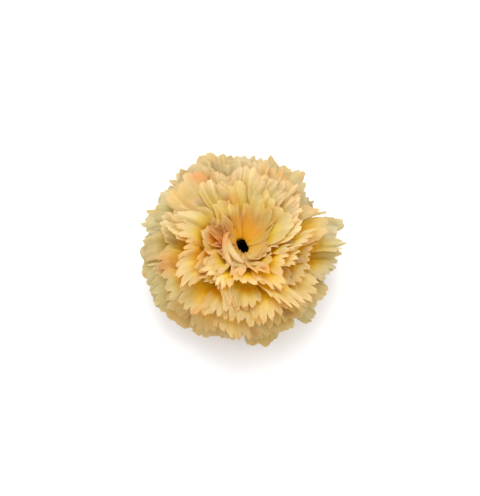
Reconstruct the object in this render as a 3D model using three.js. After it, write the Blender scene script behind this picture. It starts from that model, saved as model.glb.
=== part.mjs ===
// A carnation head: saw-edged petals in tiers round a hollow peg, on a small calyx.
// Millimetres, +Z up, origin at the middle of the calyx's flat underside.
import * as THREE from 'three';

// The head as a whole.
const HEAD_RADIUS = 29;       // axis to the widest petal tips
const WIDEST_RISE = 9.1;      // calyx's lip up to the widest tips
const CROWN_RISE = 21.6;      // widest tips up to the crown, before it dips
const INNER_STAND = 55;       // degrees above level from the highest roots to the innermost tips
const DIP_RADIUS = 12;        // how far out the dip fades

// The calyx, which the head rests on.
const CALYX_FOOT_RADIUS = 6.4;
const CALYX_WAIST_RADIUS = 5.4;
const CALYX_LIP_RADIUS = 7.6;
const CALYX_FOOT_HEIGHT = 1.2;
const CALYX_HEIGHT = 5.4;
const CALYX_FLOOR = 1.4;      // thickness under the peg

// The peg, a hollow tube that the petals are threaded round.
const PEG_RADIUS = 1.95;
const PEG_BORE_RADIUS = 1.45;
const PEG_RIM_RADIUS = 2.3;   // the rolled rim at its mouth
const PEG_RIM_HEIGHT = 0.9;
const PEG_RIM_RISE = 0.8;     // rim's underside over the highest petal roots
const SOCKET_CLEARANCE = 0.3; // peg to calyx, all round and at its foot
const ROUND_SEGMENTS = 32;

// The petals.
const TIER_COUNTS = [4, 5, 5, 6, 6, 7, 7, 8]; // petals in each tier, innermost first
const PETAL_THICKNESS = 0.4;
const ROOT_CLEARANCE = 0.45;  // petal roots to the peg's rim and to the calyx's lip
const ROOT_PITCH = 1.65;      // one tier's roots to the next along the peg
const ROOT_SPREAD = 0.5;      // how much further out each lower tier's roots stand
const SIDE_GAP = 0.8;         // between neighbours in a tier, where they don't overlap
const BLADE_SHARE = [0.82, 1.2]; // blade width over its share of the circle: first and last tier
const TIER_TURN = 137.5;      // degrees from one tier's first petal to the next one's
const TOOTH_LENGTH = 1.5;
const CORNER_ROUNDING = 0.12; // how much shorter a petal's corners are, as a share of its length
const LENGTH_SPREAD = 0.07;   // how much petals' lengths differ, as a share
const MEAN_DRAW = 0.6;        // the seeded draw at which a petal has its full length
const FIRST_SEED = 7;         // seeds of the petals' lengths
const SEEDS_PER_TIER = 31;
const COLUMNS = 10;           // facets across a petal, two to a tooth
const ROWS = 5;               // facets along a petal

// Where tips lie on the head's outline, and how petals leave the peg and reach their tips.
const TIP_POLAR = [16, 66, 28];  // degrees from the axis: first tier, then linear and square growth
const LEAVE_ANGLE = [60, 20];    // degrees above level at the roots: first and last tier
const ARRIVE_ANGLE = [46, -76];  // degrees above level at the tips
const LEAVE_REACH = 0.44;        // handle lengths, as shares of root to tip
const ARRIVE_REACH = 0.32;
const WIDENING = [0.6, 0.95];    // where along a petal its blade widens, as shares of its length

// Waves. Neighbouring tiers wave almost together, so that petals nest.
const PETAL_RAMP = 0.28;      // tiers that one side of a petal stands over the other
const RAMPING = [0.1, 0.5];   // where along a petal its ramp grows
const WAVE_HEIGHT = [0.06, 0.4]; // tiers that a blade waves up and down at its tips: first, last
const WAVES_ROUND = 9;
const WAVE_LAG = 0.8;         // radians from one tier's waves to the next one's
// The whole head's unevenness at its widest tips: waves round, start in radians and height.
const OUTLINE_WAVES = [[1, 0.7, 0.8], [2, 3.9, 0.4], [3, 2, 0.5], [5, 2.3, 0.7], [7, 0.8, 0.4]];
const CROWN_WAVES = [[4, 1.1, 0.9], [9, 0, 0.54]];

const LAST_TIER = TIER_COUNTS.length - 1;
const ROOT_RADIUS = PEG_RIM_RADIUS + ROOT_CLEARANCE + PETAL_THICKNESS / 2;
const LOWEST_ROOT = CALYX_HEIGHT + ROOT_CLEARANCE + PETAL_THICKNESS;
const HIGHEST_ROOT = LOWEST_ROOT + LAST_TIER * ROOT_PITCH;
const WIDEST_HEIGHT = CALYX_HEIGHT + WIDEST_RISE;
const PEG_FOOT = CALYX_FLOOR + SOCKET_CLEARANCE;
const PEG_TOP = HIGHEST_ROOT + PEG_RIM_RISE + PEG_RIM_HEIGHT;

const { degToRad, lerp, smoothstep, seededRandom } = THREE.MathUtils;

function finish(color, roughness) {
  return new THREE.MeshStandardMaterial({ color, roughness, metalness: 0 });
}

// A turned piece: its profile is a closed outline of [radius, height] corners.
function turned(name, corners, material) {
  const outline = [...corners, corners[0]].map(([r, z]) => new THREE.Vector2(r, z));
  const geometry = new THREE.LatheGeometry(outline, ROUND_SEGMENTS);
  geometry.rotateX(Math.PI / 2);
  const mesh = new THREE.Mesh(geometry, material);
  mesh.name = name;
  return mesh;
}

// The dome that the tips of tier s would lie on without the dip, as [radius, height].
// s may be fractional, for a petal's waves.
function domeOf(s) {
  const share = s / LAST_TIER;
  const polar = degToRad(TIP_POLAR[0] + TIP_POLAR[1] * share + TIP_POLAR[2] * share * share);
  return [HEAD_RADIUS * Math.sin(polar), WIDEST_HEIGHT + CROWN_RISE * Math.cos(polar)];
}

// The dip fades outwards, and is as deep as the innermost tips need.
const dipShare = (radius) => Math.exp(-((radius / DIP_RADIUS) ** 2));
const [innerRadius, innerHeight] = domeOf(0);
const innerTipRise = (innerRadius - ROOT_RADIUS) * Math.tan(degToRad(INNER_STAND));
const dipDepth = (innerHeight - HIGHEST_ROOT - innerTipRise) / dipShare(innerRadius);

function tipOf(s) {
  const [radius, height] = domeOf(s);
  return new THREE.Vector2(radius, height - dipDepth * dipShare(radius));
}

// A tier's line from root to tip in the plane through the axis, as [radius, height].
function tierLine(s) {
  const share = s / LAST_TIER;
  const root = new THREE.Vector2(ROOT_RADIUS + s * ROOT_SPREAD, HIGHEST_ROOT - s * ROOT_PITCH);
  const tip = tipOf(s);
  const chord = root.distanceTo(tip);
  const leave = degToRad(lerp(LEAVE_ANGLE[0], LEAVE_ANGLE[1], share));
  const arrive = degToRad(lerp(ARRIVE_ANGLE[0], ARRIVE_ANGLE[1], share));
  const rise = new THREE.Vector2(Math.cos(leave), Math.sin(leave));
  const fall = new THREE.Vector2(Math.cos(arrive), Math.sin(arrive));
  return new THREE.CubicBezierCurve(
    root,
    root.clone().addScaledVector(rise, LEAVE_REACH * chord),
    tip.clone().addScaledVector(fall, -ARRIVE_REACH * chord),
    tip,
  );
}

// The whole head's unevenness moves every petal there together.
function settle(point) {
  const angle = Math.atan2(point.y, point.x);
  const share = Math.hypot(point.x, point.y) / HEAD_RADIUS;
  const swell = (waves) => waves
    .reduce((sum, [count, start, height]) => sum + height * Math.sin(count * angle + start), 0);
  const out = 1 + (share * swell(OUTLINE_WAVES)) / HEAD_RADIUS;
  const up = share * share * swell(CROWN_WAVES);
  return new THREE.Vector3(point.x * out, point.y * out, point.z + up);
}

// A point of the blade's middle surface: side runs -1 to 1 across, along 0 to 1 from root to tip.
function bladePoint(tier, middleAngle, side, along) {
  const share = tier / LAST_TIER;
  const pitch = (2 * Math.PI) / TIER_COUNTS[tier];
  const spread = smoothstep(along, ...WIDENING);
  const line = tierLine(tier);
  const gapAngle = SIDE_GAP / line.getPoint(Math.min(along, 1)).x;
  const blade = pitch * lerp(BLADE_SHARE[0], BLADE_SHARE[1], share);
  const width = lerp(pitch - gapAngle, blade, spread);
  const angle = middleAngle + (side * width) / 2;
  const ramp = PETAL_RAMP * share * side * smoothstep(along, ...RAMPING);
  const height = lerp(WAVE_HEIGHT[0], WAVE_HEIGHT[1], share) * along * along;
  const wave = height * Math.sin(WAVES_ROUND * angle + WAVE_LAG * tier);
  const flat = tierLine(tier + ramp + wave).getPoint(along);
  return settle(new THREE.Vector3(flat.x * Math.cos(angle), flat.x * Math.sin(angle), flat.y));
}

// How far along the line the petal's edge lies: rounded corners, then teeth.
function edgeAlong(tier, index, column) {
  const side = (2 * column) / COLUMNS - 1;
  const line = tierLine(tier);
  const draw = seededRandom(FIRST_SEED + SEEDS_PER_TIER * tier + index);
  const reach = 1 + LENGTH_SPREAD * (draw - MEAN_DRAW);
  const corner = CORNER_ROUNDING * side ** 4;
  const tooth = (column % 2 ? 0 : -TOOTH_LENGTH) / line.getLength();
  return reach - corner + tooth;
}

function petal(tier, index, material) {
  const middleAngle = degToRad(TIER_TURN * tier) + ((2 * Math.PI) / TIER_COUNTS[tier]) * index;
  const grid = [];
  for (let row = 0; row <= ROWS; row += 1) {
    const across = [];
    for (let column = 0; column <= COLUMNS; column += 1) {
      const side = (2 * column) / COLUMNS - 1;
      const along = (edgeAlong(tier, index, column) * row) / ROWS;
      across.push(bladePoint(tier, middleAngle, side, along));
    }
    grid.push(across);
  }
  const mesh = new THREE.Mesh(sheet(grid, PETAL_THICKNESS), material);
  mesh.name = `petal_${tier + 1}_${index + 1}`;
  return mesh;
}

// A closed sheet of even thickness round a grid of points.
function sheet(grid, thickness) {
  const rows = grid.length;
  const columns = grid[0].length;
  const clampRow = (row) => Math.min(Math.max(row, 0), rows - 1);
  const clampColumn = (column) => Math.min(Math.max(column, 0), columns - 1);
  const positions = [];
  for (const face of [1, -1]) {
    for (let row = 0; row < rows; row += 1) {
      for (let column = 0; column < columns; column += 1) {
        const along = grid[clampRow(row + 1)][column].clone().sub(grid[clampRow(row - 1)][column]);
        const across = grid[row][clampColumn(column + 1)].clone()
          .sub(grid[row][clampColumn(column - 1)]);
        const normal = along.cross(across).normalize();
        const point = grid[row][column].clone().addScaledVector(normal, (face * thickness) / 2);
        positions.push(point.x, point.y, point.z);
      }
    }
  }
  const faces = [];
  const corner = (face, row, column) => (face * rows + row) * columns + column;
  const quad = (a, b, c, d) => faces.push(a, b, c, a, c, d);
  for (let row = 0; row < rows - 1; row += 1) {
    for (let column = 0; column < columns - 1; column += 1) {
      const at = (face, r, c) => corner(face, row + r, column + c);
      quad(at(0, 0, 0), at(0, 1, 0), at(0, 1, 1), at(0, 0, 1));
      quad(at(1, 0, 0), at(1, 0, 1), at(1, 1, 1), at(1, 1, 0));
    }
  }
  const border = [];
  for (let column = 0; column < columns - 1; column += 1) border.push([0, column]);
  for (let row = 0; row < rows - 1; row += 1) border.push([row, columns - 1]);
  for (let column = columns - 1; column > 0; column -= 1) border.push([rows - 1, column]);
  for (let row = rows - 1; row > 0; row -= 1) border.push([row, 0]);
  border.forEach(([row, column], i) => {
    const [nextRow, nextColumn] = border[(i + 1) % border.length];
    quad(
      corner(0, row, column),
      corner(0, nextRow, nextColumn),
      corner(1, nextRow, nextColumn),
      corner(1, row, column),
    );
  });
  const geometry = new THREE.BufferGeometry();
  geometry.setAttribute('position', new THREE.Float32BufferAttribute(positions, 3));
  geometry.setIndex(faces);
  geometry.computeVertexNormals();
  return geometry;
}

const calyxFinish = finish(0x7f8f4a, 0.6);
const pegFinish = finish(0x17130f, 0.5);
const petalFinish = finish(0xe8c789, 0.75);

const socketRadius = PEG_RADIUS + SOCKET_CLEARANCE;
const calyx = turned('calyx', [
  [0, 0],
  [CALYX_FOOT_RADIUS, 0],
  [CALYX_WAIST_RADIUS, CALYX_FOOT_HEIGHT],
  [CALYX_LIP_RADIUS, CALYX_HEIGHT],
  [socketRadius, CALYX_HEIGHT],
  [socketRadius, CALYX_FLOOR],
  [0, CALYX_FLOOR],
], calyxFinish);

const peg = turned('peg', [
  [PEG_BORE_RADIUS, PEG_FOOT],
  [PEG_RADIUS, PEG_FOOT],
  [PEG_RADIUS, PEG_TOP - PEG_RIM_HEIGHT],
  [PEG_RIM_RADIUS, PEG_TOP - PEG_RIM_HEIGHT],
  [PEG_RIM_RADIUS, PEG_TOP],
  [PEG_BORE_RADIUS, PEG_TOP],
], pegFinish);

const head = new THREE.Group();
head.add(calyx, peg);
TIER_COUNTS.forEach((count, tier) => {
  for (let index = 0; index < count; index += 1) head.add(petal(tier, index, petalFinish));
});

export default head;
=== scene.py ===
# %% [markdown]
# # A carnation head
#
# This lesson builds a carnation head the way a flower maker does. The head has a dark hollow
# peg in the middle, a small green calyx that it rests on, and eight tiers of petals round the
# peg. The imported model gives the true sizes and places, and nothing here moves it. The peg and
# the calyx only get a finish, and each plain petal is replaced by a shaped one.

# %% Load the frame
import math
import random

import bpy
from mathutils import Matrix, Vector, noise


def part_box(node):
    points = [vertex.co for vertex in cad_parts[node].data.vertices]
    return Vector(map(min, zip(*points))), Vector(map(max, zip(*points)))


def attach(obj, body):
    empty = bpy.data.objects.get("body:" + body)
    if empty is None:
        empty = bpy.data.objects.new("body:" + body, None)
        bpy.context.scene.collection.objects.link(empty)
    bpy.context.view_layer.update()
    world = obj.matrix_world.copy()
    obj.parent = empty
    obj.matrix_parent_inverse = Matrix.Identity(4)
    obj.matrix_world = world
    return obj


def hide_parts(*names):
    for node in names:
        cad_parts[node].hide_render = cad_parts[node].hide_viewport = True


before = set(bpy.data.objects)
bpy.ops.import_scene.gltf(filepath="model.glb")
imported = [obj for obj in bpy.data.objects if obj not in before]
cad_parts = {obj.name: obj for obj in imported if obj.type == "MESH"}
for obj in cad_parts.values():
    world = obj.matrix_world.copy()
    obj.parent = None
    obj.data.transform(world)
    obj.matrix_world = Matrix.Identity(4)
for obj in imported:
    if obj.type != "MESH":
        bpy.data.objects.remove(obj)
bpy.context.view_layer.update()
MM = 0.001

# %% [markdown]
# ## The tiers
#
# The petals' names say where they sit: petal_3_2 is the second petal of the third tier. Counting
# the names gives the petals in each tier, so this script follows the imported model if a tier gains
# a petal. A real petal is cleft into lobes. The lobes could be cut out of one wide sheet, but
# then they could hardly cross, so each petal here carries two or three blades that overlap.

# %% Count the petals in each tier
petal_names = sorted(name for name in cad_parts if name.startswith("petal_"))
tier_of = {name: int(name.split("_")[1]) - 1 for name in petal_names}
place_of = {name: int(name.split("_")[2]) - 1 for name in petal_names}
tier_counts = [list(tier_of.values()).count(tier) for tier in range(max(tier_of.values()) + 1)]
LAST_TIER = len(tier_counts) - 1
INNER_TIERS = 2


def blades_on(tier):
    return 2 if tier < INNER_TIERS else 3


print("petals in each tier:", tier_counts)

# %% [markdown]
# ## The former
#
# A flower maker presses a flat petal over a former to bend it. Petals could also be bent by hand
# or draped as cloth, but forty-eight of them would soon run through each other. Here the former
# is a formula. For a tier and a distance along the petal it gives a radius and a height. The line
# leaves the peg steeply, arches over and drops to the tip. Tiers may be fractional: 2.3 lies a
# little under tier 2, so a petal leans by moving between tiers, and neighbours nest as real ones
# do.

# %% Sizes of the head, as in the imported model
HEAD_RADIUS = 29 * MM
WIDEST_RISE = 9.1 * MM
CROWN_RISE = 21.6 * MM
INNER_STAND = math.radians(55)
DIP_RADIUS = 12 * MM
ROOT_PITCH = 1.65 * MM
ROOT_SPREAD = 0.5 * MM
ROOT_CLEARANCE = 0.65 * MM
ROOT_STEP = 0.2 * MM
TIP_POLAR = (16, 66, 28)
LEAVE_ANGLE = (60, 20)
ARRIVE_ANGLE = (46, -76)
LEAVE_REACH = 0.44
ARRIVE_REACH = 0.32
TIER_TURN = 137.5

peg_low, peg_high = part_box("peg")
calyx_low, calyx_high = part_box("calyx")
root_radius = peg_high.x + ROOT_CLEARANCE
lowest_root = calyx_high.z + ROOT_CLEARANCE + ROOT_STEP
highest_root = lowest_root + LAST_TIER * ROOT_PITCH
widest_height = calyx_high.z + WIDEST_RISE

print("roots from", round(lowest_root / MM, 2), "to", round(highest_root / MM, 2), "mm high")


# %% [markdown]
# ## Tips on a dome
#
# The tips of all tiers lie on a dome, which sinks in the middle towards the mouth of the peg.
# Two small helpers come first: blend mixes two values, and smooth fades from 0 to 1.


# %% Where a tier's tips lie
def blend(a, b, share):
    return a + (b - a) * share


def smooth(low, high, value):
    share = min(max((value - low) / (high - low), 0.0), 1.0)
    return share * share * (3 - 2 * share)


def dome(tier):
    share = tier / LAST_TIER
    polar = math.radians(TIP_POLAR[0] + TIP_POLAR[1] * share + TIP_POLAR[2] * share * share)
    return HEAD_RADIUS * math.sin(polar), widest_height + CROWN_RISE * math.cos(polar)


def dip_share(radius):
    return math.exp(-((radius / DIP_RADIUS) ** 2))


inner_radius, inner_height = dome(0)
inner_tip_rise = (inner_radius - root_radius) * math.tan(INNER_STAND)
dip_depth = (inner_height - highest_root - inner_tip_rise) / dip_share(inner_radius)


def tip_of(tier):
    radius, height = dome(tier)
    return radius, height - dip_depth * dip_share(radius)


print("the crown dips", round(dip_depth / MM, 2), "mm on the axis")


# %% [markdown]
# ## The line of a petal
#
# A curve with two handles leads from the root to the tip. The first handle sets the angle at
# which the petal leaves the peg, the second the angle at which it arrives. The petal's length is
# measured in short steps, and the cutters need it.


# %% The line of a tier from root to tip
def on_curve(along, ends):
    left = 1 - along
    weights = (left**3, 3 * left * left * along, 3 * left * along * along, along**3)
    axes = range(len(ends[0]))
    return Vector([sum(w * end[axis] for w, end in zip(weights, ends)) for axis in axes])


def on_line(tier, along):
    share = tier / LAST_TIER
    root = (root_radius + tier * ROOT_SPREAD, highest_root - tier * ROOT_PITCH)
    tip = tip_of(tier)
    chord = math.hypot(tip[0] - root[0], tip[1] - root[1])
    leave = math.radians(blend(*LEAVE_ANGLE, share))
    arrive = math.radians(blend(*ARRIVE_ANGLE, share))
    out = (
        root[0] + LEAVE_REACH * chord * math.cos(leave),
        root[1] + LEAVE_REACH * chord * math.sin(leave),
    )
    back = (
        tip[0] - ARRIVE_REACH * chord * math.cos(arrive),
        tip[1] - ARRIVE_REACH * chord * math.sin(arrive),
    )
    return on_curve(along, (root, out, back, tip))


STEPS = 12


def line_length(tier):
    stops = [on_line(tier, step / STEPS) for step in range(STEPS + 1)]
    return sum((b - a).length for a, b in zip(stops, stops[1:]))


lengths = [line_length(tier) for tier in range(LAST_TIER + 1)]
print("petal lengths in mm:", [round(length / MM, 1) for length in lengths])

# %% [markdown]
# ## The unevenness of the whole head
#
# No head is round. A few slow waves swell its outline and its crown, nicks notch the outline, and
# a soft noise pushes petals to and fro. The petals could be moved one by one instead, but all
# petals at one place move together here, so they still nest. Blender's vector noise starts from
# the clock unless it is given a seed, so it is seeded and gives the same head each time.

# %% Settle a point of the head
# each wave: how many times round, height in mm and start angle
OUTLINE_WAVES = ((1, 5.65, 1.3), (2, 3.9, 0.4), (3, 2.0, 0.5), (4, 0.4, 0.5), (5, 1.2, 0.4))
CROWN_WAVES = ((4, 1.1, 0.9), (9, 0.0, 0.54))
# each nick: angle and width in degrees and depth in mm, where a negative depth is a bulge
NICKS = ((31, 5, 3.2), (21, 5, -4.0), (10, 4, 1.6), (271, 5, 2.2), (200, 12, 0.6))
LOWEST_TIP = 7 * MM
LIFT = 0.7
NICKED_PART = (0.6, 1)
SHOVE = 1.5 * MM
SHOVE_SIZE = 9 * MM
SHOVED_PART = (0.1, 0.5)
SHOVE_SEED = 11
noise.seed_set(SHOVE_SEED)


def apart(first, second):
    return abs((first - second + math.pi) % math.tau - math.pi)


def swell(waves, angle):
    return MM * sum(height * math.sin(count * angle + start) for count, start, height in waves)


def settle(radius, height, angle):
    share = radius / HEAD_RADIUS
    radius *= 1 + share * swell(OUTLINE_WAVES, angle) / HEAD_RADIUS
    for place, width, depth in NICKS:
        beside = apart(angle, math.radians(place)) / math.radians(width)
        radius -= depth * MM * smooth(*NICKED_PART, share) * math.exp(-beside * beside)
    height += share * share * swell(CROWN_WAVES, angle)
    height += LIFT * max(LOWEST_TIP - height, 0)
    point = Vector((radius * math.cos(angle), radius * math.sin(angle), height))
    return point + noise.noise_vector(point / SHOVE_SIZE) * SHOVE * smooth(*SHOVED_PART, share)


front_edge = settle(HEAD_RADIUS, widest_height, -math.pi / 2)
print("the front of the outline settles at", [round(part / MM, 1) for part in front_edge], "mm")

# %% [markdown]
# ## The cutters
#
# Blades are stamped from flat film, with a soft and a crisp cutter for each tier. The teeth could
# be cut as an outline and filled, but a filled outline bends badly, so a cutter's blank is a grid.
# Its far edge gets saw teeth by shortening some of the grid's columns: fully between two teeth,
# and a little on each tooth's shoulders. Each column shortens towards its root. Slips get a
# narrow soft blank, and bent slips a plain one without teeth.

# %% Stamp a blank
SOFT_TEETH = 0.55 * MM
CRISP_TEETH = 1.5 * MM
TOOTH_PROFILE = (1.0, 0.38, 0.12, 0.0, 0.12, 0.38)
TOOTH_ZONE = 0.2
BLANK_ROWS = 16


def column_of(place, columns):
    return round((place.x + 1) / 2 * columns)


def shorten(blank, columns, place, share):
    bpy.ops.object.mode_set(mode="OBJECT")
    for vertex in blank.data.vertices:
        in_column = column_of(vertex.co, columns) % len(TOOTH_PROFILE) == place
        vertex.select = in_column and vertex.co.y > TOOTH_ZONE
    bpy.ops.object.mode_set(mode="EDIT")
    squash = 1 - 2 * share / (1 - TOOTH_ZONE)
    bpy.ops.transform.resize(value=(1, squash, 1), center_override=(0, TOOTH_ZONE, 0))


def stamp_blank(name, teeth, depth):
    columns = teeth * len(TOOTH_PROFILE)
    bpy.ops.object.select_all(action="DESELECT")
    bpy.ops.mesh.primitive_grid_add(x_subdivisions=columns, y_subdivisions=BLANK_ROWS, size=2)
    blank = bpy.context.object
    blank.name = name
    bpy.ops.object.mode_set(mode="EDIT")
    bpy.ops.mesh.select_all(action="DESELECT")
    bpy.ops.mesh.select_mode(type="VERT")
    for place, share in enumerate(TOOTH_PROFILE):
        if share:
            shorten(blank, columns, place, share * depth)
    bpy.ops.object.mode_set(mode="OBJECT")
    return blank


TEETH = (4, 4, 4, 5, 5, 5, 5, 5)
SLIP_TEETH = 2
tiers = range(LAST_TIER + 1)
soft_blanks = [stamp_blank(f"soft_{t + 1}", TEETH[t], SOFT_TEETH / lengths[t]) for t in tiers]
crisp_blanks = [stamp_blank(f"crisp_{t + 1}", TEETH[t], CRISP_TEETH / lengths[t]) for t in tiers]
slip_blank = stamp_blank("slip", SLIP_TEETH, SOFT_TEETH / lengths[0])
plain_blank = stamp_blank("plain", 1, 0.0)
print("faces on each blank:", [len(blank.data.polygons) for blank in soft_blanks])

# %% [markdown]
# ## Pressing a blade
#
# Each blade of a real petal is bent a little differently. Modifiers could bend them, but each
# would need its own set, so a formula moves the points of the blank instead. Across the blank
# becomes an angle round the peg, and up the blank becomes the distance along the former. One side
# of each blade stands over its neighbour. The blade leans, it is cupped or folded along its
# middle, its edge is skewed, it ruffles more and more towards its edge, and its tip curls. Every
# blade draws its own amounts, so no two are alike.

# %% Draw what makes each blade different
chance = random.Random(58)
# how many waves lie across a blade, and their height in mm
RUFFLES = ((0.9, 0.75), (1.7, 0.55), (3.1, 0.4))
CREASES = ((5.3, 0.23), (8.3, 0.07))


def draw_waves(waves):
    return [
        (count * chance.uniform(0.8, 1.25), MM * height * chance.uniform(0.4, 1.5),
         chance.uniform(0, math.tau))
        for count, height in waves
    ]


# lean is in tiers, turn and width in shares of the blade's place, reach in shares of its length
def draw_blade(tier, teeth):
    share = tier / LAST_TIER
    return {
        "lean": chance.uniform(-0.45, 0.45) * blend(0.5, 1.1, share),
        "turn": chance.uniform(-0.22, 0.22),
        "width": chance.uniform(1.15, 1.75),
        "reach": chance.uniform(0.84, 1.07),
        "skew": chance.uniform(-1.3, 1.3) * MM,
        "swirl": chance.uniform(-0.1, 0.1),
        "cup": chance.uniform(-0.8, 1.6) * MM,
        "fold": max(chance.uniform(-1.5, 1.4), 0) * MM,
        "fold_at": chance.uniform(-0.4, 0.4),
        "ruffles": draw_waves(RUFFLES),
        "creases": draw_waves(CREASES),
        "teeth": [chance.uniform(-0.35, 0.65) * MM for _ in range(teeth + 1)],
        "curl": chance.uniform(-2.2, 1.8) * MM,
        "tone": chance.random(),
    }


print("waves across each blade:", len(RUFFLES), "ruffles and", len(CREASES), "creases")

# %% [markdown]
# ## The throat
#
# The innermost petals close in over the peg's rim and leave an oval mouth. The peg's own mouth is
# round, so the oval comes from the petals: where they pass the rim they are drawn towards an
# ellipse, and above and below it they are left alone.

# %% Close the petals round the mouth
THROAT_HEIGHT = peg_high.z + 0.8 * MM
THROAT_REACH = 1.3 * MM
THROAT_RADIUS = 1.52 * MM
THROAT_OVAL = 0.42
THROAT_ANGLE = math.radians(115)
THROAT_SQUEEZE = 0.85


def squeeze(tier, point, angle):
    near = THROAT_SQUEEZE * smooth(1, 0, tier)
    rise = (point.y - THROAT_HEIGHT) / THROAT_REACH
    mouth = THROAT_RADIUS * (1 + THROAT_OVAL * math.cos(2 * (angle - THROAT_ANGLE)))
    point.x -= near * (point.x - mouth) * math.exp(-rise * rise)
    return point


mouth_sizes = [2 * THROAT_RADIUS * (1 + way * THROAT_OVAL) for way in (1, -1)]
print("the petals draw towards a mouth of", [round(size / MM, 1) for size in mouth_sizes], "mm")

# %% [markdown]
# ## How the tiers wander
#
# In a real head whole rows of petals lean together. The tiers drift in and out slowly round the
# head, the same for all the petals at one place. The innermost tier hardly drifts, because it
# holds the mouth, and the outermost one doesn't, because it makes the outline.

# %% Let the tiers drift
DRIFT = 1.3
DRIFT_TURNS = 1.9
DRIFT_TIERS = 0.45
DRIFT_STARTS = (-1, 3)
DRIFT_ENDS = (LAST_TIER, LAST_TIER - 2)


def drift(tier, angle):
    around = (DRIFT_TURNS * math.cos(angle), DRIFT_TURNS * math.sin(angle), DRIFT_TIERS * tier)
    return DRIFT * noise.noise(around) * smooth(*DRIFT_STARTS, tier) * smooth(*DRIFT_ENDS, tier)


print("drift of tier 3 at the front, in tiers:", round(drift(3, -math.pi / 2), 2))

# %% [markdown]
# ## One blade on the former
#
# Each point of the blank is put on the line of its tier, at its angle round the peg, and then
# lifted off the line by the blade's own cup, fold, ruffles, creases and curl. All of these fade
# in from the root, which stays smooth and narrow. Blades at the back of the head crumple more
# than those at the front. Last, the point settles with the rest of the head.

# %% Press one blade
# each fade gives where along the blade, from 0 to 1, it starts and where it is full
SPREAD_FADE = (0.15, 0.85)
RIM_FADE = (0.25, 1.0)
TEETH_FADE = (0.9, 1)
SIDE_FADE = (0.1, 0.5)
CURL_FADE = (0.7, 1.1)
# this one fades from the front of the head to the back
BACK_FADE = (-0.4, 0.6)
CRUMPLE = (0.7, 1.25)
# tiers that one side of a blade stands over the other, and that inner petals lean out at the back
SIDE_STEP = 0.3
SLANT = 0.9
# how far a blade's corners are drawn in, and its root's share of its place
CORNER = 3.0 * MM
NARROW_ROOT = 0.94
CUP_CENTRE = 0.4
RUFFLE_TWIST = 1.2
CREASE_TWIST = 2
CALM_INSIDE = 0.75
LOOK_AHEAD = 0.02


def rippled(waves, side, start):
    return sum(height * math.sin(count * math.pi * side + shift + start)
               for count, height, shift in waves)


def off_the_former(side, along, rim, crumple, drawn):
    off = drawn["cup"] * (side * side - CUP_CENTRE) * rim
    off += drawn["fold"] * abs(side - drawn["fold_at"]) * rim
    off += crumple * rippled(drawn["ruffles"], side, RUFFLE_TWIST * along) * rim * rim
    off += crumple * crumple * rippled(drawn["creases"], side, CREASE_TWIST * along) * rim * rim
    return off + drawn["curl"] * smooth(*CURL_FADE, along) ** 2


def press(point, tier, petal_angle, share_of_petal, drawn):
    side = point.x
    along = (point.y + 1) / 2
    share = tier / LAST_TIER
    length = lengths[tier]
    middle, width = share_of_petal
    spread = smooth(*SPREAD_FADE, along)
    root_angle = middle + width * NARROW_ROOT * side / 2
    full_angle = middle + width * (drawn["turn"] + drawn["width"] * side / 2)
    angle = petal_angle + blend(root_angle, full_angle, spread) + drawn["swirl"] * along * along
    rim = smooth(*RIM_FADE, along)
    tooth = drawn["teeth"][round((side + 1) / 2 * (len(drawn["teeth"]) - 1))]
    pull = tooth * smooth(*TEETH_FADE, along) + (drawn["skew"] * side - CORNER * abs(side) ** 3) * rim
    distance = along * (1 + (drawn["reach"] - 1) * rim) + pull / length
    slant = SLANT * (1 - share) ** 2 * max(math.sin(angle), 0)
    leaning = tier + (drawn["lean"] + slant + drift(tier, angle)) * rim
    leaning += SIDE_STEP * side * smooth(*SIDE_FADE, along)
    place = squeeze(leaning, on_line(leaning, distance), angle)
    ahead = squeeze(leaning, on_line(leaning, distance + LOOK_AHEAD), angle)
    upright = Vector((place.y - ahead.y, ahead.x - place.x)).normalized()
    crumple = blend(*CRUMPLE, smooth(*BACK_FADE, math.sin(angle)))
    off = off_the_former(side, along, rim, crumple, drawn)
    place += upright * off * blend(CALM_INSIDE, 1, share)
    return settle(place.x, place.y, angle)


print("a blade starts to ruffle at", RIM_FADE[0], "of its length")

# %% [markdown]
# ## From blades to a petal
#
# The blades of a petal share the points of their root, so merging doubles joins them there and
# leaves the clefts open above. Each point keeps its distance from the tip, its tier and its
# blade's tone, which the petal's finish reads. The distance could be read from the UV map, but
# the petals' lengths differ, and the colour has to change at the same depth on all of them.

# %% Make a blade
# the tips are pale this far in, and petals at the back of the head further
TIP_BAND = 14 * MM
INNER_GOLD = 2.1
PALE_FACES = 0.5
PALE_FADE = (-0.1, 0.7)
THROAT_GOLD = 0.45
THROAT_TIERS = (2.5, 0)


def store(mesh, name, values):
    layer = mesh.attributes.new(name, "FLOAT", "POINT")
    layer.data.foreach_set("value", values)


def place_blade(name, mesh):
    made = bpy.data.objects.new(name, mesh)
    bpy.context.collection.objects.link(made)
    return made


def make_blade(blank, tier, petal_angle, share_of_petal, drawn):
    mesh = blank.data.copy()
    spots = [vertex.co.copy() for vertex in mesh.vertices]
    for vertex, spot in zip(mesh.vertices, spots):
        vertex.co = press(spot, tier, petal_angle, share_of_petal, drawn)
    store(mesh, "tone", [drawn["tone"]] * len(spots))
    store(mesh, "tier", [tier / LAST_TIER] * len(spots))
    behind = smooth(*PALE_FADE, math.sin(petal_angle + share_of_petal[0]))
    band = TIP_BAND / blend(INNER_GOLD, 1, tier / LAST_TIER) * (1 + PALE_FACES * behind)
    gold = THROAT_GOLD * behind * smooth(*THROAT_TIERS, tier)
    store(mesh, "from_tip", [gold + (1 - spot.y) / 2 * lengths[tier] / band for spot in spots])
    return place_blade(blank.name + "_pressed", mesh)


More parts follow.
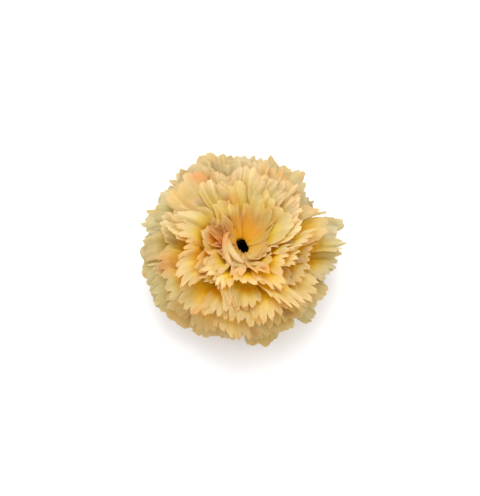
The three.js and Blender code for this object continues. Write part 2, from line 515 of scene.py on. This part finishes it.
pale_depths = [TIP_BAND / blend(INNER_GOLD, 1, tier / LAST_TIER) for tier in tiers]
print("the tips are pale this far in, in mm:", [round(depth / MM, 1) for depth in pale_depths])

# %% [markdown]
# ## The slips
#
# Between the innermost petals stand slips: narrow petals that never opened. They could be folded
# from wide petals, but pressed as narrow blades they are as thin as the rest and quick to make.
# Most of them crowd together on one side of the peg, so their places are listed one by one. Each
# slip grows from the innermost petal nearest to it.

# %% Place the slips
# angle in degrees, lean in tiers, swirl in radians, width and reach
SLIPS = (
    (176, -0.3, 0.25, 0.75, 0.9),
    (208, -0.35, 0.3, 0.8, 0.95),
    (160, -0.4, -0.35, 0.85, 0.9),
    (222, -0.1, -0.2, 0.9, 1.0),
    (185, 0.1, 0.1, 0.8, 1.08),
    (142, -0.15, 0.2, 0.8, 1.0),
    (250, -0.2, 0.35, 0.9, 0.85),
    (310, -0.1, -0.3, 0.9, 0.9),
    (268, 0.8, -0.1, 1.5, 1.0),
    (286, 1.0, 0.1, 1.5, 1.06),
    (110, -0.1, 0.3, 0.8, 0.95),
)
SLIP_WIDTH = 0.36
SLIP_FOLD = 0.9 * MM


def petal_turn(name):
    tier = tier_of[name]
    return math.radians(TIER_TURN * tier) + math.tau / tier_counts[tier] * place_of[name]


def make_slip(angle, lean, swirl, width, reach):
    drawn = draw_blade(0, SLIP_TEETH)
    drawn.update(lean=lean, swirl=swirl, width=width, reach=reach, turn=0.0, skew=0.0)
    drawn["fold"] = SLIP_FOLD
    return make_blade(slip_blank, 0, math.radians(angle), (0.0, SLIP_WIDTH), drawn)


inner_petals = [name for name in petal_names if tier_of[name] == 0]
slips_on = {name: [] for name in petal_names}


def inner_petal_near(angle):
    return min(inner_petals, key=lambda name: apart(petal_turn(name), math.radians(angle)))


for slip in SLIPS:
    slips_on[inner_petal_near(slip[0])].append(make_slip(*slip))
print("slips on the innermost petals:", [len(slips_on[name]) for name in inner_petals])

# %% [markdown]
# ## The bent slips
#
# Two slips have bent right over and pass close beside the mouth of the peg. The former can't
# bend a blade sideways, so these follow a curve of their own from root to tip. A slip is widest
# before its rounded tip, crowned across, and a little wavy along its length.

# %% Bend two slips past the mouth of the peg
# root, two handles and tip of the curve, in mm
BENT_LINE = ((-2.85, 0.8, 17.8), (-5.2, 4.2, 25.5), (-4.4, -4.6, 25.2), (0.3, -6.8, 24.2))
# turn in degrees, size, width in mm and tone
BENT_SLIPS = ((0, 1.0, 1.7, 0.5), (-20, 1.25, 1.3, 0.9))
BENT_ROOT_ANGLE = 135
BENT_CROWN = 0.3 * MM
BENT_WAVE = 0.25 * MM
BENT_WAVES = 9
BENT_GOLD = 2.4
NARROW_BENT_ROOT = 0.4
BENT_ROOT_FADE = (0, 0.7)
BENT_TIP = 0.85
BENT_TIP_FADE = (0.8, 1.0)
BENT_SIZE_FADE = (0, 0.5)
NEAR = 0.01
UP = Vector((0, 0, 1))


def bent_width(along):
    tip = math.sqrt(1 - BENT_TIP * smooth(*BENT_TIP_FADE, along))
    return tip * blend(NARROW_BENT_ROOT, 1, smooth(*BENT_ROOT_FADE, along))


def bend_point(side, along, turn, size, width):
    middle = on_curve(along, BENT_LINE)
    tangent = (on_curve(along + NEAR, BENT_LINE) - on_curve(along - NEAR, BENT_LINE)).normalized()
    across = tangent.cross(UP).normalized()
    crown = BENT_CROWN * (1 - side * side) + BENT_WAVE * math.sin(BENT_WAVES * along + turn)
    half_width = MM * width * bent_width(along) / 2
    bent = MM * middle + across * half_width * side + across.cross(tangent) * crown
    spread = blend(1, size, smooth(*BENT_SIZE_FADE, along))
    bent = Vector((bent.x * spread, bent.y * spread, bent.z))
    return Matrix.Rotation(math.radians(turn), 3, "Z") @ bent


def bend_slip(turn, size, width, tone):
    mesh = plain_blank.data.copy()
    from_tip = [(1 - vertex.co.y) / BENT_GOLD for vertex in mesh.vertices]
    for vertex in mesh.vertices:
        vertex.co = bend_point(vertex.co.x, (vertex.co.y + 1) / 2, turn, size, width)
    store(mesh, "tone", [tone] * len(from_tip))
    store(mesh, "tier", [0.0] * len(from_tip))
    store(mesh, "from_tip", from_tip)
    return place_blade("bent_slip", mesh)


slips_on[inner_petal_near(BENT_ROOT_ANGLE)].extend(bend_slip(*slip) for slip in BENT_SLIPS)
print("with the bent ones:", [len(slips_on[name]) for name in inner_petals])

# %% [markdown]
# ## The petals
#
# A petal is its blades, and its slips if it has any, joined into one mesh. The front petals of
# all but the outer two tiers get crisp teeth, and the rest soft ones. Thickness could be
# modelled by hand, but on a sheet as waved as this a Solidify modifier keeps it even. It is
# applied, so that the petal is a plain closed mesh.

# %% Make a petal
FILM = 0.14 * MM
SHARP_EDGE = math.radians(50)
MERGE_WITHIN = 0.02 * MM
CRISP_BELOW = 0.1


def only(obj):
    bpy.ops.object.select_all(action="DESELECT")
    obj.select_set(True)
    bpy.context.view_layer.objects.active = obj


def make_petal(name):
    tier = tier_of[name]
    count = blades_on(tier)
    width = math.tau / tier_counts[tier] / count
    blades = slips_on[name]
    for blade in range(count):
        share_of_petal = (width * (blade - (count - 1) / 2), width)
        drawn = draw_blade(tier, TEETH[tier])
        turned = petal_turn(name) + share_of_petal[0]
        crisp = tier < LAST_TIER - 1 and math.sin(turned) < CRISP_BELOW
        blank = (crisp_blanks if crisp else soft_blanks)[tier]
        blades.append(make_blade(blank, tier, petal_turn(name), share_of_petal, drawn))
    only(blades[-1])
    for made in blades:
        made.select_set(True)
    bpy.ops.object.join()
    petal = bpy.context.object
    only(petal)
    bpy.ops.object.mode_set(mode="EDIT")
    bpy.ops.mesh.select_all(action="SELECT")
    bpy.ops.mesh.remove_doubles(threshold=MERGE_WITHIN)
    bpy.ops.object.mode_set(mode="OBJECT")
    film = petal.modifiers.new("film", "SOLIDIFY")
    film.thickness = FILM
    film.offset = 0
    bpy.ops.object.modifier_apply(modifier=film.name)
    bpy.ops.object.shade_smooth_by_angle(angle=SHARP_EDGE)
    petal.name = name + "_shaped"
    return petal


petals = {name: make_petal(name) for name in petal_names}
for blank in (*soft_blanks, *crisp_blanks, slip_blank, plain_blank):
    bpy.data.objects.remove(blank)
print("petals made:", len(petals), "faces:", sum(len(p.data.polygons) for p in petals.values()))

# %% [markdown]
# ## The petal finish
#
# The film is deep gold inside and peach cream at its teeth, so its colour follows the distance
# from the tip. Outer tiers are paler and greener. The colours could be painted on, but a node
# tree gives all petals one finish that still differs from place to place. Each layer below tints
# the one before it. The film is thin, so light from behind glows through it: that is what the
# Translucent shader is for.


# %% Helpers for node trees
def new_material(name):
    material = bpy.data.materials.new(name)
    material.use_nodes = True
    nodes = material.node_tree.nodes
    nodes.clear()
    output = nodes.new("ShaderNodeOutputMaterial")
    shader = nodes.new("ShaderNodeBsdfPrincipled")
    return material, nodes, material.node_tree.links, output, shader


def colour(code):
    """A colour code as linear red, green, blue and alpha."""
    channels = [int(code[i : i + 2], 16) / 255 for i in (0, 2, 4)]
    linear = [c / 12.92 if c <= 0.04045 else ((c + 0.055) / 1.055) ** 2.4 for c in channels]
    return (*linear, 1)


def ramp(nodes, links, value, stops):
    node = nodes.new("ShaderNodeValToRGB")
    elements = node.color_ramp.elements
    while len(elements) < len(stops):
        elements.new(0.5)
    for element, (position, code) in zip(elements, stops):
        element.position = position
        element.color = colour(code)
    links.new(value, node.inputs["Fac"])
    return node.outputs["Color"]


def mix(nodes, links, way, share, first, second):
    node = nodes.new("ShaderNodeMix")
    node.data_type = "RGBA"
    node.blend_type = way
    if isinstance(share, float):
        node.inputs["Factor"].default_value = share
    else:
        links.new(share, node.inputs["Factor"])
    links.new(first, node.inputs["A"])
    links.new(second, node.inputs["B"])
    return node.outputs["Result"]


def attribute(nodes, name):
    node = nodes.new("ShaderNodeAttribute")
    node.attribute_name = name
    return node.outputs["Fac"]


def cloud(nodes, links, where, scale, detail):
    node = nodes.new("ShaderNodeTexNoise")
    node.inputs["Scale"].default_value = scale
    node.inputs["Detail"].default_value = detail
    links.new(where, node.inputs["Vector"])
    return node.outputs["Fac"]


# %% Colour from the distance to the tip
INNER_TONES = ((0.0, "faead2"), (0.18, "f7edd2"), (0.36, "f5eecc"), (0.6, "faf1b2"), (1.0, "fff252"))
OUTER_TONES = ((0.0, "e1decd"), (0.25, "dfddc7"), (0.5, "e5dfbf"), (0.75, "eee1a2"), (1.0, "f6dc6c"))
OUTER_FADE = ((0.35, "000000"), (1.0, "ffffff"))

petal_film, nodes, links, output, shader = new_material("petal_film")
place = nodes.new("ShaderNodeTexCoord").outputs["Object"]
from_tip = attribute(nodes, "from_tip")
inner = ramp(nodes, links, from_tip, INNER_TONES)
outer = ramp(nodes, links, from_tip, OUTER_TONES)
tint = mix(nodes, links, "MIX", ramp(nodes, links, attribute(nodes, "tier"), OUTER_FADE), inner, outer)


def tinted(value, tones, share):
    return mix(nodes, links, "MULTIPLY", share, tint, ramp(nodes, links, value, tones))


print("tones from tip to root:", len(INNER_TONES), "inside and", len(OUTER_TONES), "outside")

# %% [markdown]
# ## Blades and clouds
#
# Each blade is a little paler, peachier or more golden than the next, and soft clouds of lemon
# and gold run over several blades at once, as dye does when it dries unevenly.

# %% Tint the blades and add the clouds
BLADE_TONES = ((0.0, "fafce4"), (0.3, "fffef4"), (0.55, "fffbea"), (0.8, "fff8e4"), (1.0, "fff2d4"))
BLADE_SHARE = 0.6
CLOUD_TONES = ((0.36, "ffffff"), (0.5, "fffcea"), (0.64, "ffeaa6"))
CLOUD_SCALE = 110
CLOUD_SHARE = 0.5

tint = tinted(attribute(nodes, "tone"), BLADE_TONES, BLADE_SHARE)
tint = tinted(cloud(nodes, links, place, CLOUD_SCALE, 2), CLOUD_TONES, CLOUD_SHARE)
print("clouds about", round(1 / CLOUD_SCALE / MM), "mm across")

# %% [markdown]
# ## Painted shade spots
#
# Shade is painted on a few spots as darker orange: the throat above the mouth, the folds beside
# it, and some petals further out. Each painted spot fades out with the distance from its middle.

# %% Paint the shade spots
# middle and radius in mm
SHADE_SPOTS = (
    ((-7.8, 1.7, 24), 5.0),
    ((-5.7, -1.2, 22.5), 3.4),
    ((-22.6, -7.3, 25), 5.0),
    ((3.2, -26.4, 15), 3.5),
    ((-12.5, -22.8, 22), 4.0),
    ((1.4, -14, 24.5), 2.5),
    ((-12.4, 19.4, 27), 4.5),
    ((-2.9, 12.7, 26), 3.5),
    ((1, 4.5, 22), 8.0),
)
SHADE_SPOT_TONES = ((0.0, "ffc05c"), (1.0, "ffffff"))
SHADE_SPOT_SHARE = 0.55
SHADE_SPOT_CORE = 0.2


def faded(value, low, high):
    node = nodes.new("ShaderNodeMapRange")
    node.inputs["From Min"].default_value = low
    node.inputs["From Max"].default_value = high
    links.new(value, node.inputs["Value"])
    return node.outputs["Result"]


# painted shade: each spot tints the film darker orange near its middle
for spot, radius in SHADE_SPOTS:
    away = nodes.new("ShaderNodeVectorMath")
    away.operation = "DISTANCE"
    away.inputs[1].default_value = [MM * part for part in spot]
    links.new(place, away.inputs[0])
    reach = faded(away.outputs["Value"], SHADE_SPOT_CORE * radius * MM, radius * MM)
    tint = tinted(reach, SHADE_SPOT_TONES, SHADE_SPOT_SHARE)
print("blushes:", len(SHADE_SPOTS))

# %% [markdown]
# ## Front and back
#
# The front of the head gets less of the light from above, so its shade is painted on: a fade
# along the Y axis tints the front darker and warmer and leaves the back untinted.

# %% Paint shade on the front
FRONT_SHADE_TONES = ((0.0, "fff4da"), (0.5, "fffdf6"), (1.0, "ffffff"))

parts = nodes.new("ShaderNodeSeparateXYZ")
links.new(place, parts.inputs["Vector"])
# painted shade: the front half is tinted darker and warmer
tint = tinted(faded(parts.outputs["Y"], -HEAD_RADIUS, HEAD_RADIUS), FRONT_SHADE_TONES, 1.0)
print("the front is warmed over", round(HEAD_RADIUS / MM), "mm")

# %% [markdown]
# ## Veins and crinkles
#
# Fine veins run along each blade, and the film is crinkled all over. Both are too fine to model,
# so they are noise, which tints the film and raises it a little. The veins follow the blade's UV
# map, stretched along it, and the crinkles lie over everything.

# %% Add the veins and the crinkles
VEIN_STRETCH = (22, 1.6, 1)
VEIN_TONES = ((0.34, "f4ecd8"), (0.6, "ffffff"))
VEIN_SHARE = 0.5
CRINKLE_SCALE = 450
CRINKLE_TONES = ((0.36, "faf4e2"), (0.58, "ffffff"))
CRINKLE_SHARE = 0.5


def raised(height, strength, distance):
    node = nodes.new("ShaderNodeBump")
    node.inputs["Strength"].default_value = strength
    node.inputs["Distance"].default_value = distance
    links.new(height, node.inputs["Height"])
    return node


stretch = nodes.new("ShaderNodeMapping")
stretch.inputs["Scale"].default_value = VEIN_STRETCH
links.new(nodes.new("ShaderNodeUVMap").outputs["UV"], stretch.inputs["Vector"])
veins = cloud(nodes, links, stretch.outputs["Vector"], 1.0, 4)
tint = tinted(veins, VEIN_TONES, VEIN_SHARE)
crinkles = cloud(nodes, links, place, CRINKLE_SCALE, 3)
tint = tinted(crinkles, CRINKLE_TONES, CRINKLE_SHARE)

vein_bump = raised(veins, 0.2, 0.12 * MM)
film_bump = raised(crinkles, 0.35, 0.4 * MM)
links.new(vein_bump.outputs["Normal"], film_bump.inputs["Normal"])
print("crinkles about", round(1 / CRINKLE_SCALE / MM, 1), "mm across")

# %% [markdown]
# ## The glow of the film
#
# Two shaders share the colour: one for the light that the matt film throws back, and one for the
# light that comes through it. More than half comes through, which keeps the gaps between the
# petals golden instead of dark.

# %% Mix the shaders and dress the petals
GLOW = 0.62

shader.inputs["Roughness"].default_value = 0.65
shader.inputs["Specular IOR Level"].default_value = 0.15
links.new(tint, shader.inputs["Base Color"])
links.new(film_bump.outputs["Normal"], shader.inputs["Normal"])
through = nodes.new("ShaderNodeBsdfTranslucent")
links.new(tint, through.inputs["Color"])
links.new(film_bump.outputs["Normal"], through.inputs["Normal"])
film_mix = nodes.new("ShaderNodeMixShader")
film_mix.inputs["Fac"].default_value = GLOW
links.new(shader.outputs["BSDF"], film_mix.inputs[1])
links.new(through.outputs["BSDF"], film_mix.inputs[2])
links.new(film_mix.outputs["Shader"], output.inputs["Surface"])

for name, petal in petals.items():
    petal.data.materials.clear()
    petal.data.materials.append(petal_film)
    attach(petal, "root")
    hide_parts(name)
print("nodes in the petal film:", len(nodes))

# %% [markdown]
# ## The peg and the calyx
#
# The peg is dull black, so almost nothing shines off it, and its mouth stays dark. The calyx is
# dry green, streaked from foot to lip. A plain colour would do for both, but streaks, which are
# noise stretched along Z, keep them from looking moulded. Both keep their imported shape.


# %% Finish the peg and the calyx
def finish_node(name, material):
    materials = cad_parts[name].data.materials
    materials.clear()
    materials.append(material)


def streaked(name, stretch_by, tones, roughness, shine):
    material, nodes, links, output, shader = new_material(name)
    place = nodes.new("ShaderNodeTexCoord")
    mapping = nodes.new("ShaderNodeMapping")
    mapping.inputs["Scale"].default_value = stretch_by
    links.new(place.outputs["Object"], mapping.inputs["Vector"])
    streaks = cloud(nodes, links, mapping.outputs["Vector"], 1.0, 4)
    links.new(ramp(nodes, links, streaks, tones), shader.inputs["Base Color"])
    shader.inputs["Roughness"].default_value = roughness
    shader.inputs["Specular IOR Level"].default_value = shine
    bump = nodes.new("ShaderNodeBump")
    bump.inputs["Strength"].default_value = 0.5
    bump.inputs["Distance"].default_value = 0.2 * MM
    links.new(streaks, bump.inputs["Height"])
    links.new(bump.outputs["Normal"], shader.inputs["Normal"])
    links.new(shader.outputs["BSDF"], output.inputs["Surface"])
    return material


peg_tones = ((0.3, "040302"), (0.7, "0d0a07"))
calyx_tones = ((0.3, "7c8a48"), (0.5, "97a361"), (0.7, "b3ba7c"))
dry_green = streaked("dry_green", (700, 700, 90), calyx_tones, 0.7, 0.3)
finish_node("peg", streaked("dull_black", (400, 400, 60), peg_tones, 0.9, 0.05))
finish_node("calyx", dry_green)

# %% [markdown]
# ## The receptacle
#
# Petals grow from a low green swelling, which lies on the calyx and fills the space under their
# roots. It could be spun from an outline, but a ring is quicker to shape: its underside is pressed
# flat, so that it lies on the calyx, and alternate columns of its outer side are drawn in, which
# leaves shallow ribs.

# %% Make the receptacle
SWELLING_GAP = 0.1 * MM
LIP_SHOWS = 0.9 * MM
SWELLING_INSIDE = peg_high.x + SWELLING_GAP
SWELLING_OUTSIDE = calyx_high.x - LIP_SHOWS
SWELLING_HEIGHT = ROOT_CLEARANCE + ROOT_STEP - SWELLING_GAP
SEAT = 0.02 * MM
RIBS = 24
RIB_DEPTH = 0.96
ring_radius = (SWELLING_OUTSIDE + SWELLING_INSIDE) / 2
ring_width = (SWELLING_OUTSIDE - SWELLING_INSIDE) / 2

bpy.ops.object.select_all(action="DESELECT")
bpy.ops.mesh.primitive_torus_add(
    major_segments=2 * RIBS, minor_segments=14, major_radius=ring_radius, minor_radius=ring_width
)
receptacle = bpy.context.object
receptacle.name = "receptacle"
bpy.ops.transform.resize(value=(1, 1, SWELLING_HEIGHT / ring_width))
bpy.ops.transform.translate(value=(0, 0, calyx_high.z + SEAT))
bpy.ops.object.transform_apply(location=True, rotation=True, scale=True)


def pick_points(obj, wanted):
    bpy.ops.object.mode_set(mode="OBJECT")
    for vertex in obj.data.vertices:
        vertex.select = wanted(vertex.co)
    bpy.ops.object.mode_set(mode="EDIT")


def on_rib_side(place):
    column = round(math.atan2(place.y, place.x) / math.tau * 2 * RIBS)
    return column % 2 == 1 and math.hypot(place.x, place.y) > ring_radius


bpy.ops.object.mode_set(mode="EDIT")
bpy.ops.mesh.select_all(action="DESELECT")
bpy.ops.mesh.select_mode(type="VERT")
pick_points(receptacle, on_rib_side)
bpy.ops.transform.resize(value=(RIB_DEPTH, RIB_DEPTH, 1), center_override=(0, 0, calyx_high.z))
pick_points(receptacle, lambda place: place.z < calyx_high.z + SEAT)
bpy.ops.transform.resize(value=(1, 1, 0), center_override=(0, 0, calyx_high.z + SEAT))
bpy.ops.object.mode_set(mode="OBJECT")
only(receptacle)
bpy.ops.object.shade_smooth_by_angle(angle=SHARP_EDGE)
receptacle.data.materials.append(dry_green)
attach(receptacle, "root")
print("receptacle height in mm:", round(SWELLING_HEIGHT / MM, 2))

# %% [markdown]
# ## The floor and the light
#
# The head lies on a white table in soft light from all sides, as in a light tent. A tent could be
# built, but a white world gives the same light with less work. One large soft lamp behind the
# head shines down through its petals. The table glows a little, so it stays white round the
# soft shadow.

# %% Lay the floor
bpy.ops.object.select_all(action="DESELECT")
bpy.ops.mesh.primitive_plane_add(size=4)
floor = bpy.context.object
floor.name = "floor"
floor_finish, nodes, links, output, shader = new_material("light_table")
shader.inputs["Base Color"].default_value = (0.76, 0.76, 0.77, 1)
shader.inputs["Roughness"].default_value = 0.9
shader.inputs["Emission Color"].default_value = (1, 1, 1, 1)
shader.inputs["Emission Strength"].default_value = 0.16
links.new(shader.outputs["BSDF"], output.inputs["Surface"])
floor.data.materials.append(floor_finish)
print("floor", round(floor.dimensions.x, 1), "m across")

# %% Light the head
world = bpy.data.worlds.new("studio")
bpy.context.scene.world = world
world.use_nodes = True
world.node_tree.nodes["Background"].inputs["Color"].default_value = (1, 1, 1, 1)
world.node_tree.nodes["Background"].inputs["Strength"].default_value = 1.28


def soft_light(name, place, aim, size, watts):
    bpy.ops.object.light_add(type="AREA", location=place)
    light = bpy.context.object
    light.name = name
    light.data.shape = "DISK"
    light.data.size = size
    light.data.energy = watts
    light.rotation_euler = (Vector(aim) - Vector(place)).to_track_quat("-Z", "Y").to_euler()
    return light


key = soft_light("key", (-0.03, 0.25, 0.6), (0, 0, 0.015), 0.45, 1.9)
print("key light:", round(key.location.length, 2), "m from the head")

# %% [markdown]
# ## The camera
#
# A long lens from well above shows the round face and flattens it only a little. It aims at the
# middle of the head, and its distance sets how much of the picture the head fills.

# %% Place the camera
ELEVATION = math.radians(68)
DISTANCE = 0.404
AIM = Vector((-0.0007, 0.0013, 0.0155))
bpy.ops.object.camera_add()
camera = bpy.context.object
camera.data.lens = 100
camera.location = AIM + DISTANCE * Vector((0, -math.cos(ELEVATION), math.sin(ELEVATION)))
camera.rotation_euler = (AIM - camera.location).to_track_quat("-Z", "Y").to_euler()
camera.data.clip_start = 0.01
bpy.context.scene.camera = camera
bpy.context.scene.view_settings.view_transform = "Standard"
print("camera", round(camera.location.z, 3), "m above the floor")

# %% [markdown]
# ## The last update
#
# Thin film reaches a little past the plain petals that it stands for. The scene is brought up to
# date at the end.

# %% Finish
bpy.context.view_layer.update()
